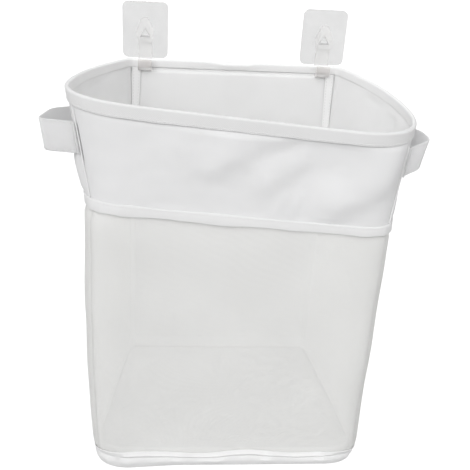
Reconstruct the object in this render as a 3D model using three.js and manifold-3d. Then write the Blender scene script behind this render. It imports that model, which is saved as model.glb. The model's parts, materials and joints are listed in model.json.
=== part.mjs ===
// Hanging bath toy bag with a wired mouth, on two clear adhesive hooks.
// Millimetres, +Z up. The wall is the plane y = 0 and the bag hangs in front of it, towards -Y.
// The origin lies on the wall, midway between the two pads.
import * as THREE from "three";
import { mergeVertices } from "three/addons/utils/BufferGeometryUtils.js";
import Module from "manifold-3d";

const wasm = await Module();
wasm.setup();

// Clear space between pieces that are sewn, seated or pushed together
const FIT_GAP = 0.3;

// Adhesive pads
const HOOK_SPACING = 184;
const PAD_WIDTH = 46;
const PAD_HEIGHT = 56;
const PAD_CORNER_RADIUS = 6;
const PAD_THICKNESS = 1.2;

// Moulded hooks: a gabled boss with a window, a stem and a J
const HOOK_WIDTH = 14;
const HOOK_THICKNESS = 2.8;
const HOOK_TIP_RISE = 2.5;
const BOSS_WIDTH = 18;
const BOSS_TOP = 13;
const BOSS_BOTTOM = -11;
const BOSS_PROUD = 5.5;
const BOSS_CROWN_RADIUS = 5;
const BOSS_CROWN_SLOPE = Math.PI / 8;
const WINDOW_WIDTH = 10;
const WINDOW_BOTTOM = -6;
const WINDOW_HEIGHT = 9;

// Cloth
const FABRIC_THICKNESS = 1.6;
const MESH_THICKNESS = 1;

// Rim: a wire hoop in a folded binding, with its ends joined in a crimped sleeve
const RIM_DROP = 30;
const WIRE_DIAMETER = 3;
const SLEEVE_LENGTH = 24;
const SLEEVE_WALL = 0.6;
const RIM_BEAD_DIAMETER = 8;
const RIM_TAPE_THICKNESS = 1.5;
const RIM_INNER_LEG = 5;
const RIM_OUTER_LEG = 8.2;
const RIM_LEG_GROWTH = 0.4;

// Plan of the bag at the rim, at the foot of the fabric band and at the base. A seam share says how far round
// the front corner its seam lies, from the side to the front.
const BACK_CORNER = 8;
const RIM_FRONT_WIDTH = 298;
const RIM_DEPTH = 182;
const RIM_FRONT_BULGE = 1;
const RIM_SIDE_BULGE = 20;
const RIM_FRONT_CORNER = 65;
const RIM_SEAM_SHARE = 0.36;
const RIM_DROOP = 12.5;
const WAIST_BACK_WIDTH = 215;
const WAIST_FRONT_WIDTH = 273;
const WAIST_DEPTH = 193.5;
const WAIST_FRONT_BULGE = 1.5;
const WAIST_SIDE_BULGE = 5.5;
const WAIST_FRONT_CORNER = 33;
const WAIST_SEAM_SHARE = 0.5;
const WAIST_DROOP = 10;
const BASE_BACK_WIDTH = 221;
const BASE_FRONT_WIDTH = 276;
const BASE_DEPTH = 198;
const BASE_FRONT_BULGE = 0.5;
const BASE_SIDE_BULGE = 2;
const BASE_FRONT_CORNER = 40;
const BASE_SEAM_SHARE = 0.5;

// Heights, counted down from the centre of the rim wire
const BAND_HEIGHT = 88.5;
const BAG_HEIGHT = 363;

// Bindings, tapes and piping
const BAND_BINDING_HEIGHT = 9;
const BAND_BINDING_THICKNESS = 1.8;
const BASE_BINDING_HEIGHT = 18;
const BASE_BINDING_THICKNESS = 2.2;
const BASE_BINDING_EDGE_RADIUS = 5;
const BASE_FLANGE_WIDTH = 9;
const SEAM_TAPE_WIDTH = 7;
const SEAM_TAPE_THICKNESS = 1.2;
const PIPING_WIDTH = 3;
const PIPING_THICKNESS = 1.6;

// Slots in the back panel for the hooks
const SLOT_SIDE_CLEARANCE = 2;
const SLOT_FOOT_CLEARANCE = 1.2;

// Strap handles: sewn on beside the front corner seams, out to a turn, back to a knee and in to the side.
// The turn and the knee are counted outwards and back from where the strap leaves the side.
const HANDLE_DROP = 19;
const HANDLE_STRAP_WIDTH = 25;
const HANDLE_STRAP_THICKNESS = 1.6;
const HANDLE_FRONT_TAB = 4;
const HANDLE_TURN_REACH = 24;
const HANDLE_TURN_LEAN = 3;
const HANDLE_KNEE_REACH = 19.5;
const HANDLE_KNEE_LEAN = 26;
const HANDLE_RISE = 3;
const HANDLE_SPAN = 55;
const HANDLE_BACK_TAB = 13;
const HANDLE_BEND = 7;
const HANDLE_BEND_SHARE = 0.45;

// Steps in which the curves are drawn
const PAD_CORNER_STEPS = 5;
const JAY_STEPS = 12;
const CROWN_STEPS = 8;
const WIRE_SIDES = 8;
const SLEEVE_STEPS = 16;
const BEAD_STEPS = 10;
const BEAD_CAVITY_STEPS = 8;
const BACK_CORNER_STEPS = 4;
const SIDE_STEPS = 12;
const FRONT_CORNER_STEPS = 16;
const FRONT_STEPS = 3;
const BAND_STEPS = 6;
const MESH_STEPS = 5;
const BASE_EDGE_STEPS = 4;
const TAPE_STEPS = 4;
const PIPING_STEPS = 2;
const TAB_STEPS = 2;
const BEND_STEPS = 4;
const WALK_STEP = 0.005;
const NORMAL_STEP = 1e-4;
const MERGE_DISTANCE = 1e-4;

// Sizes that follow from the driving dimensions
const wireRadius = WIRE_DIAMETER / 2;
const sleeveBore = wireRadius + FIT_GAP;
const sleeveRadius = sleeveBore + SLEEVE_WALL;
const beadRadius = RIM_BEAD_DIAMETER / 2;
const fabricFace = FABRIC_THICKNESS / 2;
const trimFace = fabricFace + FIT_GAP;
const rimLegFace = trimFace + RIM_TAPE_THICKNESS;
const cupRadius = Math.max(beadRadius, Math.hypot(rimLegFace, RIM_INNER_LEG)) + FIT_GAP;
const hookBack = PAD_THICKNESS + FIT_GAP;
const rimStandoff = hookBack + HOOK_THICKNESS + cupRadius;
const rimZ = -RIM_DROP;
const panelTopZ = rimZ - sleeveRadius - FIT_GAP;
const waistZ = rimZ - BAND_HEIGHT;
const baseZ = rimZ - BAG_HEIGHT;
const bandFootZ = waistZ + BAND_BINDING_HEIGHT / 2;
const baseBindingFace = trimFace + BASE_BINDING_THICKNESS;
const hookX = HOOK_SPACING / 2;
const rimBackHalf = hookX + HOOK_WIDTH / 2 + BACK_CORNER;

// Plan sections, from which every sewn piece takes its place
const baseBack = baseBindingFace + FIT_GAP;
const waistBack = THREE.MathUtils.mapLinear(waistZ, rimZ, baseZ, rimStandoff, baseBack);
const SECTIONS = [
  {
    z: rimZ,
    back: rimStandoff,
    backHalf: rimBackHalf,
    frontHalf: RIM_FRONT_WIDTH / 2,
    depth: RIM_DEPTH,
    frontBulge: RIM_FRONT_BULGE,
    sideBulge: RIM_SIDE_BULGE,
    frontCorner: RIM_FRONT_CORNER,
    seamShare: RIM_SEAM_SHARE,
    droop: RIM_DROOP,
  },
  {
    z: waistZ,
    back: waistBack,
    backHalf: WAIST_BACK_WIDTH / 2,
    frontHalf: WAIST_FRONT_WIDTH / 2,
    depth: WAIST_DEPTH,
    frontBulge: WAIST_FRONT_BULGE,
    sideBulge: WAIST_SIDE_BULGE,
    frontCorner: WAIST_FRONT_CORNER,
    seamShare: WAIST_SEAM_SHARE,
    droop: WAIST_DROOP,
  },
  {
    z: baseZ,
    back: baseBack,
    backHalf: BASE_BACK_WIDTH / 2,
    frontHalf: BASE_FRONT_WIDTH / 2,
    depth: BASE_DEPTH,
    frontBulge: BASE_FRONT_BULGE,
    sideBulge: BASE_SIDE_BULGE,
    frontCorner: BASE_FRONT_CORNER,
    seamShare: BASE_SEAM_SHARE,
    droop: 0,
  },
];

// The two plan sections that a height lies between, and how far down between them it is
function levelsAt(z) {
  const [upper, lower] = z > waistZ ? SECTIONS.slice(0, 2) : SECTIONS.slice(1);
  const share = THREE.MathUtils.clamp((upper.z - z) / (upper.z - lower.z), 0, 1);
  return { upper, lower, share };
}

// The point where two lines meet, each given by a point and a direction
function crossing(pointA, alongA, pointB, alongB) {
  const gap = pointB.clone().sub(pointA);
  const share = gap.cross(alongB) / alongA.cross(alongB);
  return pointA.clone().addScaledVector(alongA, share);
}

// Half of a plan outline as a curve of five stretches: 0 to 1 the back, to 2 the back corner,
// to 3 the side, to 4 the front corner, its seam halfway, and to 5 the front, ending at its middle.
function halfOutline(section) {
  const backEnd = new THREE.Vector2(section.backHalf, -section.back);
  const frontEnd = new THREE.Vector2(section.frontHalf, -section.back - section.depth);
  const chord = frontEnd.clone().sub(backEnd);
  const sideLength = chord.length();
  const outward = new THREE.Vector2(-chord.y, chord.x).divideScalar(sideLength);
  const sidePoint = (t) =>
    backEnd.clone().addScaledVector(chord, t).addScaledVector(outward, 4 * section.sideBulge * t * (1 - t));
  const sideAlong = (t) => chord.clone().addScaledVector(outward, 4 * section.sideBulge * (1 - 2 * t));
  const frontPoint = (t) =>
    new THREE.Vector2(section.frontHalf * (1 - t), frontEnd.y - section.frontBulge * t * (2 - t));
  const frontAlong = (t) => new THREE.Vector2(-section.frontHalf, -2 * section.frontBulge * (1 - t));
  const sideStart = BACK_CORNER / sideLength;
  const sideStop = 1 - section.frontCorner / sideLength;
  const frontStart = section.frontCorner / section.frontHalf;
  const backStop = new THREE.Vector2(section.backHalf - BACK_CORNER, -section.back);
  const backAlong = new THREE.Vector2(1, 0);
  const backKnee = crossing(backStop, backAlong, sidePoint(sideStart), sideAlong(sideStart));
  const sideEnd = sidePoint(sideStop);
  const frontEdge = frontPoint(frontStart);
  const frontKnee = crossing(sideEnd, sideAlong(sideStop), frontEdge, frontAlong(frontStart));
  const backCorner = new THREE.QuadraticBezierCurve(backStop, backKnee, sidePoint(sideStart));
  const frontCorner = new THREE.QuadraticBezierCurve(sideEnd, frontKnee, frontEdge);
  const seamLead = 4 * (section.seamShare - 0.5);
  return [
    (t) => new THREE.Vector2(backStop.x * t, backStop.y),
    (t) => backCorner.getPoint(t),
    (t) => sidePoint(THREE.MathUtils.lerp(sideStart, sideStop, t)),
    (t) => frontCorner.getPoint(t + seamLead * t * (1 - t)),
    (t) => frontPoint(THREE.MathUtils.lerp(frontStart, 1, t)),
  ];
}

// A point at a place on the half outline
function outlinePoint(stretches, place) {
  const index = THREE.MathUtils.clamp(Math.floor(place), 0, stretches.length - 1);
  return stretches[index](place - index);
}

// The place that lies a length in millimetres further along the rim's outline
function placeAlongRim(start, length) {
  const stretches = halfOutline(SECTIONS[0]);
  const step = Math.sign(length) * WALK_STEP;
  let place = start;
  let here = outlinePoint(stretches, place);
  let travelled = 0;
  while (travelled < Math.abs(length)) {
    const next = outlinePoint(stretches, place + step);
    travelled += next.distanceTo(here);
    here = next;
    place += step;
  }
  return place;
}

// How far the front of the bag hangs lower on its right, and higher on its left, at one section
function droopAt(section, x, y) {
  return section.droop * (x / section.frontHalf) * ((-y - section.back) / section.depth);
}

// A point of one plan outline: side is 1 on the right and -1 on the left, offset is counted outwards,
// and shift moves the point along the outline by a few millimetres
function levelPoint(section, column, offset) {
  const stretches = halfOutline(section);
  const around = (place) => {
    const before = outlinePoint(stretches, place - NORMAL_STEP);
    return outlinePoint(stretches, place + NORMAL_STEP).sub(before);
  };
  const speed = around(column.place).length() / (2 * NORMAL_STEP);
  const place = column.place + (column.shift ?? 0) / speed;
  const along = around(place).normalize();
  const point = outlinePoint(stretches, place);
  const x = column.side * (point.x - along.y * offset);
  const y = point.y + along.x * offset;
  return new THREE.Vector3(x, y, -droopAt(section, x, y));
}

// A point on the bag's skin, on the straight line between the outlines above and below it
function skinPoint(column, z, offset) {
  const { upper, lower, share } = levelsAt(z);
  const point = levelPoint(upper, column, offset).lerp(levelPoint(lower, column, offset), share);
  point.z += z;
  return point;
}

// A closed solid from points and faces, turned so that its faces point out
function solidFrom(points, triangles) {
  let volume = 0;
  for (const [a, b, c] of triangles) {
    volume += points[a].dot(points[b].clone().cross(points[c]));
  }
  const faces = volume < 0 ? triangles.map(([a, b, c]) => [a, c, b]) : triangles;
  const geometry = new THREE.BufferGeometry();
  geometry.setFromPoints(points);
  geometry.setIndex(faces.flat());
  geometry.computeVertexNormals();
  return geometry;
}

// The two triangles of a four-cornered face
function quad(a, b, c, d) {
  return [[a, b, c], [a, c, d]];
}

// A thin solid between two faces, each a grid of points in rows and columns
function slab(rowCount, columnCount, pointAt) {
  const points = [];
  for (const face of [0, 1]) {
    for (let row = 0; row < rowCount; row += 1) {
      for (let column = 0; column < columnCount; column += 1) {
        points.push(pointAt(row, column, face));
      }
    }
  }
  const index = (row, column, face) => (face * rowCount + row) * columnCount + column;
  const triangles = [];
  for (let row = 0; row + 1 < rowCount; row += 1) {
    for (let column = 0; column + 1 < columnCount; column += 1) {
      const corners = (face) => [
        index(row, column, face),
        index(row, column + 1, face),
        index(row + 1, column + 1, face),
        index(row + 1, column, face),
      ];
      triangles.push(...quad(...corners(0)), ...quad(...corners(1).reverse()));
    }
  }
  for (let row = 0; row + 1 < rowCount; row += 1) {
    const edge = (column, near, far) => [
      index(row, column, near),
      index(row + 1, column, near),
      index(row + 1, column, far),
      index(row, column, far),
    ];
    triangles.push(...quad(...edge(0, 0, 1)), ...quad(...edge(columnCount - 1, 1, 0)));
  }
  for (let column = 0; column + 1 < columnCount; column += 1) {
    const edge = (row, near, far) => [
      index(row, column, near),
      index(row, column + 1, near),
      index(row, column + 1, far),
      index(row, column, far),
    ];
    triangles.push(...quad(...edge(0, 1, 0)), ...quad(...edge(rowCount - 1, 0, 1)));
  }
  return solidFrom(points, triangles);
}

// A sewn layer of the bag between two offsets from the skin
function skinLayer(columns, heights, inner, outer) {
  return slab(heights.length, columns.length, (row, column, face) =>
    skinPoint(columns[column], heights[row], face === 0 ? inner : outer));
}

// A solid swept along columns of the skin: profileAt gives each column's section as [offset, height] pairs
function skinSweep(columns, profileAt, closed) {
  const profiles = columns.map(profileAt);
  const count = profiles[0].length;
  const points = profiles.flatMap((profile, column) =>
    profile.map(([offset, z]) => skinPoint(columns[column], z, offset)));
  const triangles = [];
  const steps = closed ? columns.length : columns.length - 1;
  for (let step = 0; step < steps; step += 1) {
    const here = step * count;
    const next = ((step + 1) % columns.length) * count;
    for (let k = 0; k < count; k += 1) {
      const after = (k + 1) % count;
      triangles.push(...quad(here + k, here + after, next + after, next + k));
    }
  }
  if (!closed) {
    const last = (columns.length - 1) * count;
    for (let k = 1; k + 1 < count; k += 1) {
      triangles.push([0, k + 1, k], [last, last + k, last + k + 1]);
    }
  }
  return solidFrom(points, triangles);
}

// Evenly spaced places along the outline, both ends included
function places(from, to, steps) {
  return Array.from({ length: steps + 1 }, (_, k) => THREE.MathUtils.lerp(from, to, k / steps));
}

// Places on the outline where its stretches end, with the corner seams in the middle of the corners
const BACK_END = 1;
const BACK_SEAM = 1.5;
const SIDE_START = 2;
const SIDE_END = 3;
const FRONT_SEAM = 3.5;
const FRONT_START = 4;
const FRONT_MIDDLE = 5;

// Places along each stretch of the outline, close together where it is round
const roundPlaces = [
  ...places(BACK_END, SIDE_START, BACK_CORNER_STEPS),
  ...places(SIDE_START, SIDE_END, SIDE_STEPS),
  ...places(SIDE_END, FRONT_START, FRONT_CORNER_STEPS),
  ...places(FRONT_START, FRONT_MIDDLE, FRONT_STEPS),
];

// The places from one seam to another, each once
function placesBetween(from, to) {
  return [...new Set(roundPlaces)].filter((place) => place >= from && place <= to);
}

// Heights between two levels, with the waist among them where it lies between
function heightsBetween(top, foot) {
  if (foot >= waistZ) {
    return places(top, foot, BAND_STEPS);
  }
  const upper = top > waistZ ? places(top, waistZ, BAND_STEPS) : [top];
  return [...upper, ...places(waistZ, foot, MESH_STEPS).slice(1)];
}

// Columns from one place to another on one side, given as places and moved by half a seam's gap at its ends
function sideColumns(side, list, startShift = 0, endShift = 0) {
  return list.map((place, k) => {
    const shift = k === 0 ? startShift : k === list.length - 1 ? endShift : 0;
    return { side, place, shift };
  });
}

// Columns that run across the middle of the bag from the left to the right
function acrossColumns(list, seamShift) {
  const right = sideColumns(1, list, seamShift);
  const left = right.slice(0, -1).map((column) => ({ ...column, side: -1 }));
  return [...left, ...right.reverse()];
}

// Columns of a narrow strip centred on one place
function stripColumns(side, place, width, steps) {
  return places(-width / 2, width / 2, steps).map((shift) => ({ side, place, shift }));
}

// Columns all the way round, starting behind
function loopColumns() {
  const straight = rimBackHalf - BACK_CORNER;
  const sleeveStop = (SLEEVE_LENGTH / 2 + FIT_GAP) / straight;
  const wireStart = (SLEEVE_LENGTH / 2 + FIT_GAP + wireRadius) / straight;
  const half = [0, sleeveStop, wireStart, ...placesBetween(BACK_END, FRONT_MIDDLE)];
  const right = sideColumns(1, half);
  const left = sideColumns(-1, half.slice(1, -1)).reverse();
  return [...right, ...left];
}

// Solids joined and cut with the manifold library
function toManifold(geometry) {
  const plain = geometry.clone();
  plain.deleteAttribute("normal");
  plain.deleteAttribute("uv");
  const merged = mergeVertices(plain, MERGE_DISTANCE);
  const vertProperties = new Float32Array(merged.attributes.position.array);
  const triVerts = new Uint32Array(merged.index.array);
  return new wasm.Manifold(new wasm.Mesh({ numProp: 3, vertProperties, triVerts }));
}

function toGeometry(manifold) {
  const mesh = manifold.getMesh();
  const geometry = new THREE.BufferGeometry();
  geometry.setAttribute("position", new THREE.BufferAttribute(new Float32Array(mesh.vertProperties), 3));
  geometry.setIndex(new THREE.BufferAttribute(new Uint32Array(mesh.triVerts), 1));
  geometry.computeVertexNormals();
  return geometry;
}

// Materials
const clearPlastic = { color: 0xe6e8e8, roughness: 0.15, metalness: 0, transparent: true, opacity: 0.55 };
const steel = { color: 0xb8babd, roughness: 0.35, metalness: 1 };
const whiteFabric = { color: 0xe9e9e8, roughness: 0.9, metalness: 0 };
const whiteTape = { color: 0xf2f2f2, roughness: 0.8, metalness: 0 };
const whiteMesh = { color: 0xe0e1df, roughness: 0.95, metalness: 0, transparent: true, opacity: 0.6 };

const bag = new THREE.Group();
const wallSet = new THREE.Group();
const model = new THREE.Group();
model.add(wallSet, bag);

function addPiece(group, name, geometry, look) {
  const mesh = new THREE.Mesh(geometry, new THREE.MeshStandardMaterial(look));
  mesh.name = name;
  group.add(mesh);
}

// Adhesive pad: a flat sheet with rounded corners, its back on the wall
function padGeometry() {
  const halfWidth = PAD_WIDTH / 2;
  const halfHeight = PAD_HEIGHT / 2;
  const r = PAD_CORNER_RADIUS;
  const outline = new THREE.Shape();
  outline.absarc(halfWidth - r, halfHeight - r, r, 0, Math.PI / 2);
  outline.absarc(r - halfWidth, halfHeight - r, r, Math.PI / 2, Math.PI);
  outline.absarc(r - halfWidth, r - halfHeight, r, Math.PI, 1.5 * Math.PI);
  outline.absarc(halfWidth - r, r - halfHeight, r, 1.5 * Math.PI, 2 * Math.PI);
  const geometry = new THREE.ExtrudeGeometry(outline, {
    depth: PAD_THICKNESS,
    bevelEnabled: false,
    curveSegments: PAD_CORNER_STEPS,
  });
  return geometry.rotateX(Math.PI / 2);
}

// J of the hook: a side profile round the rim, drawn across y and z and extruded along x
function jayGeometry() {
  const outerRadius = cupRadius + HOOK_THICKNESS;
  const tipRadius = HOOK_THICKNESS / 2;
  const tipZ = rimZ + HOOK_TIP_RISE;
  const stemTop = BOSS_BOTTOM + BOSS_PROUD;
  const profile = new THREE.Shape();
  profile.moveTo(-hookBack, stemTop);
  profile.lineTo(-hookBack - HOOK_THICKNESS, stemTop);
  profile.absarc(-rimStandoff, rimZ, cupRadius, 0, Math.PI, true);
  profile.absarc(-rimStandoff - cupRadius - tipRadius, tipZ, tipRadius, 0, Math.PI);
  profile.absarc(-rimStandoff, rimZ, outerRadius, Math.PI, 2 * Math.PI);
  const geometry = new THREE.ExtrudeGeometry(profile, {
    depth: HOOK_WIDTH,
    bevelEnabled: false,
    curveSegments: JAY_STEPS,
  });
  const alongX = new THREE.Matrix4().makeBasis(
    new THREE.Vector3(0, 1, 0),
    new THREE.Vector3(0, 0, 1),
    new THREE.Vector3(1, 0, 0),
  );
  return geometry.applyMatrix4(alongX).translate(-HOOK_WIDTH / 2, 0, 0);
}

// Boss of the hook: a gable with a rounded crown and a three-cornered window
function bossGeometry() {
  const half = BOSS_WIDTH / 2;
  const crownZ = BOSS_TOP - BOSS_CROWN_RADIUS;
  const eaves = crownZ - half;
  const outline = new THREE.Shape();
  outline.moveTo(-HOOK_WIDTH / 2, BOSS_BOTTOM);
  outline.lineTo(HOOK_WIDTH / 2, BOSS_BOTTOM);
  outline.lineTo(half, eaves);
  outline.absarc(0, crownZ, BOSS_CROWN_RADIUS, BOSS_CROWN_SLOPE, Math.PI - BOSS_CROWN_SLOPE);
  outline.lineTo(-half, eaves);
  const window = new THREE.Path();
  window.moveTo(-WINDOW_WIDTH / 2, WINDOW_BOTTOM);
  window.lineTo(0, WINDOW_BOTTOM + WINDOW_HEIGHT);
  window.lineTo(WINDOW_WIDTH / 2, WINDOW_BOTTOM);
  outline.holes.push(window);
  const geometry = new THREE.ExtrudeGeometry(outline, {
    depth: BOSS_PROUD,
    bevelEnabled: false,
    curveSegments: CROWN_STEPS,
  });
  return geometry.rotateX(Math.PI / 2).translate(0, -hookBack, 0);
}

for (const [side, label] of [[-1, "left"], [1, "right"]]) {
  const hook = toGeometry(toManifold(jayGeometry()).add(toManifold(bossGeometry())));
  const station = new THREE.Group();
  station.position.x = side * hookX;
  addPiece(station, `adhesive_pad_${label}`, padGeometry(), clearPlastic);
  addPiece(station, `hook_${label}`, hook, clearPlastic);
  wallSet.add(station);
}

// Rim wire: an open hoop whose ends meet behind, in the sleeve
function rimWireGeometry() {
  const columns = loopColumns();
  const open = [
    { side: 1, place: 0, shift: FIT_GAP },
    ...columns.slice(1),
    { side: -1, place: 0, shift: FIT_GAP },
  ];
  const profile = Array.from({ length: WIRE_SIDES }, (_, k) => {
    const angle = (2 * Math.PI * k) / WIRE_SIDES;
    return [wireRadius * Math.cos(angle), rimZ + wireRadius * Math.sin(angle)];
  });
  return skinSweep(open, () => profile, false);
}

// Crimped sleeve over the two ends of the wire
function sleeveGeometry() {
  const ring = new THREE.Shape();
  ring.absarc(0, 0, sleeveRadius, 0, 2 * Math.PI);
  const bore = new THREE.Path();
  bore.absarc(0, 0, sleeveBore, 0, 2 * Math.PI, true);
  ring.holes.push(bore);
  const geometry = new THREE.ExtrudeGeometry(ring, {
    depth: SLEEVE_LENGTH,
    bevelEnabled: false,
    curveSegments: SLEEVE_STEPS,
  });
  return geometry.rotateY(Math.PI / 2).translate(-SLEEVE_LENGTH / 2, -rimStandoff, rimZ);
}

// Rim binding: a bead round the wire with two legs that hold the panels, open below
function rimBindingProfile(column) {
  const fromMiddle = column.place * (rimBackHalf - BACK_CORNER);
  const overSleeve = fromMiddle < SLEEVE_LENGTH / 2 + 2 * FIT_GAP;
  const cavity = (overSleeve ? sleeveRadius : wireRadius) + FIT_GAP;
  const share = THREE.MathUtils.smoothstep(column.place, BACK_END, SIDE_START + RIM_LEG_GROWTH);
  const outerLeg = THREE.MathUtils.lerp(RIM_INNER_LEG, RIM_OUTER_LEG, share);
  const outerStart = -Math.acos(rimLegFace / beadRadius);
  const cavityStart = -Math.acos(trimFace / cavity);
  const profile = [[rimLegFace, rimZ - outerLeg]];
  for (const angle of places(outerStart, Math.PI - outerStart, BEAD_STEPS)) {
    profile.push([beadRadius * Math.cos(angle), rimZ + beadRadius * Math.sin(angle)]);
  }
  profile.push([-rimLegFace, rimZ - RIM_INNER_LEG], [-trimFace, rimZ - RIM_INNER_LEG]);
  for (const angle of places(Math.PI - cavityStart, cavityStart, BEAD_CAVITY_STEPS)) {
    profile.push([cavity * Math.cos(angle), rimZ + cavity * Math.sin(angle)]);
  }
  profile.push([trimFace, rimZ - outerLeg]);
  return profile;
}

addPiece(bag, "rim_wire", rimWireGeometry(), steel);
addPiece(bag, "wire_sleeve", sleeveGeometry(), steel);
addPiece(bag, "rim_binding", skinSweep(loopColumns(), rimBindingProfile, true), whiteTape);

// Back panel: solid fabric from the rim to the base, with a slot for each hook
function backPanelGeometry() {
  const columns = acrossColumns([...placesBetween(BACK_END, BACK_SEAM).reverse(), 0], -FIT_GAP / 2);
  const panel = skinLayer(columns, [panelTopZ, waistZ, baseZ], -fabricFace, fabricFace);
  const slotTop = rimZ - RIM_INNER_LEG - FIT_GAP;
  const slotFoot = rimZ - cupRadius - HOOK_THICKNESS - SLOT_FOOT_CLEARANCE;
  const slotWidth = HOOK_WIDTH + 2 * SLOT_SIDE_CLEARANCE;
  let cut = toManifold(panel);
  for (const side of [-1, 1]) {
    const slot = new THREE.BoxGeometry(slotWidth, 2 * rimStandoff, slotTop - slotFoot);
    slot.translate(side * hookX, -rimStandoff, (slotTop + slotFoot) / 2);
    cut = cut.subtract(toManifold(slot));
  }
  return toGeometry(cut);
}

addPiece(bag, "back_panel", backPanelGeometry(), whiteFabric);

// Panels of the front and sides: fabric above, mesh below
const frontColumns = acrossColumns(placesBetween(FRONT_SEAM, FRONT_MIDDLE), FIT_GAP / 2);
const bandHeights = heightsBetween(panelTopZ, bandFootZ);
const meshHeights = [bandFootZ - FIT_GAP, ...heightsBetween(waistZ, baseZ)];
const meshFace = MESH_THICKNESS / 2;

addPiece(bag, "front_band", skinLayer(frontColumns, bandHeights, -fabricFace, fabricFace), whiteFabric);
addPiece(bag, "front_mesh", skinLayer(frontColumns, meshHeights, -meshFace, meshFace), whiteMesh);

// Binding over the joint between the fabric band and the mesh, from back corner to back corner
const bandBinding = skinLayer(
  acrossColumns(placesBetween(SIDE_START, FRONT_MIDDLE), 0),
  [waistZ + BAND_BINDING_HEIGHT, waistZ],
  trimFace,
  trimFace + BAND_BINDING_THICKNESS,
);
addPiece(bag, "band_binding", bandBinding, whiteTape);

// Base: a flat panel inside a turned-up binding
function basePanelGeometry() {
  const inset = -trimFace;
  const corners = loopColumns().map((column) => skinPoint(column, baseZ, inset));
  const outline = new THREE.Shape(corners.map((point) => new THREE.Vector2(point.x, point.y)));
  const geometry = new THREE.ExtrudeGeometry(outline, { depth: FABRIC_THICKNESS, bevelEnabled: false });
  return geometry.translate(0, 0, baseZ);
}

function baseBindingProfile() {
  const foot = baseZ - FIT_GAP - BASE_BINDING_THICKNESS;
  const r = BASE_BINDING_EDGE_RADIUS;
  const top = foot + BASE_BINDING_HEIGHT;
  const profile = [[trimFace, top], [baseBindingFace, top]];
  for (const angle of places(0, -Math.PI / 2, BASE_EDGE_STEPS)) {
    profile.push([baseBindingFace - r + r * Math.cos(angle), foot + r + r * Math.sin(angle)]);
  }
  profile.push([-BASE_FLANGE_WIDTH, foot], [-BASE_FLANGE_WIDTH, baseZ - FIT_GAP]);
  profile.push([trimFace, baseZ - FIT_GAP]);
  return profile;
}

addPiece(bag, "base_panel", basePanelGeometry(), whiteFabric);
addPiece(bag, "base_binding", skinSweep(loopColumns(), baseBindingProfile, true), whiteTape);

// Strap handle: a tab beside the corner piping, a loop and a tab on the side behind it
function handleGeometry(side) {
  const lift = trimFace + HANDLE_STRAP_THICKNESS / 2;
  const top = rimZ - HANDLE_DROP;
  const heights = [top, top - HANDLE_STRAP_WIDTH];
  const frontEnd = PIPING_WIDTH / 2 + FIT_GAP;
  const frontRoot = frontEnd + HANDLE_FRONT_TAB;
  const backRoot = placeAlongRim(FRONT_SEAM, -frontRoot - HANDLE_SPAN);
  const backEnd = placeAlongRim(backRoot, -HANDLE_BACK_TAB);
  const frontTab = places(-frontEnd, -frontRoot, TAB_STEPS).map((shift) => ({ side: 1, place: FRONT_SEAM, shift }));
  const backTab = places(backRoot, backEnd, TAB_STEPS).map((place) => ({ side: 1, place }));
  const turnStep = new THREE.Vector3(HANDLE_TURN_REACH, HANDLE_TURN_LEAN, HANDLE_RISE);
  const kneeStep = new THREE.Vector3(HANDLE_KNEE_REACH, HANDLE_KNEE_LEAN, HANDLE_RISE);
  const paths = heights.map((z) => {
    const onSide = (column) => skinPoint(column, z, lift).setZ(0);
    const front = frontTab.map(onSide);
    const root = front[front.length - 1];
    const turn = root.clone().add(turnStep);
    const knee = root.clone().add(kneeStep);
    return roundedPath([...front, turn, knee, ...backTab.map(onSide)], HANDLE_BEND);
  });
  return slab(heights.length, paths[0].length, (row, column, face) => {
    const path = paths[row];
    const before = path[Math.max(column - 1, 0)];
    const after = path[Math.min(column + 1, path.length - 1)];
    const along = new THREE.Vector2(after.x - before.x, after.y - before.y).normalize();
    const half = (face - 0.5) * HANDLE_STRAP_THICKNESS;
    const x = side * (path[column].x - along.y * half);
    const y = path[column].y + along.x * half;
    const { upper, lower, share } = levelsAt(heights[row]);
    const droop = THREE.MathUtils.lerp(droopAt(upper, x, y), droopAt(lower, x, y), share);
    return new THREE.Vector3(x, y, heights[row] + path[column].z - droop);
  });
}

// Straight runs between the stops, with each inner stop rounded over a length on both of its sides,
// or over less where the stops lie close together
function roundedPath(stops, reach) {
  const path = [stops[0]];
  for (let k = 1; k + 1 < stops.length; k += 1) {
    const back = stops[k - 1].clone().sub(stops[k]);
    const ahead = stops[k + 1].clone().sub(stops[k]);
    const length = Math.min(reach, HANDLE_BEND_SHARE * Math.min(back.length(), ahead.length()));
    const from = back.setLength(length).add(stops[k]);
    const to = ahead.setLength(length).add(stops[k]);
    path.push(...new THREE.QuadraticBezierCurve3(from, stops[k], to).getPoints(BEND_STEPS));
  }
  path.push(stops[stops.length - 1]);
  return path;
}

// Tape over the inside of a corner seam
function seamTapeGeometry(side, place) {
  const columns = stripColumns(side, place, SEAM_TAPE_WIDTH, TAPE_STEPS);
  const heights = heightsBetween(rimZ - RIM_INNER_LEG - FIT_GAP, baseZ + FABRIC_THICKNESS + FIT_GAP);
  return skinLayer(columns, heights, -trimFace - SEAM_TAPE_THICKNESS, -trimFace);
}

// Piping on the outside of a front corner, between the rim binding and the band binding
function pipingGeometry(side) {
  const columns = stripColumns(side, FRONT_SEAM, PIPING_WIDTH, PIPING_STEPS);
  const heights = heightsBetween(rimZ - RIM_OUTER_LEG - FIT_GAP, waistZ + BAND_BINDING_HEIGHT + FIT_GAP);
  return skinLayer(columns, heights, trimFace, trimFace + PIPING_THICKNESS);
}

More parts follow.
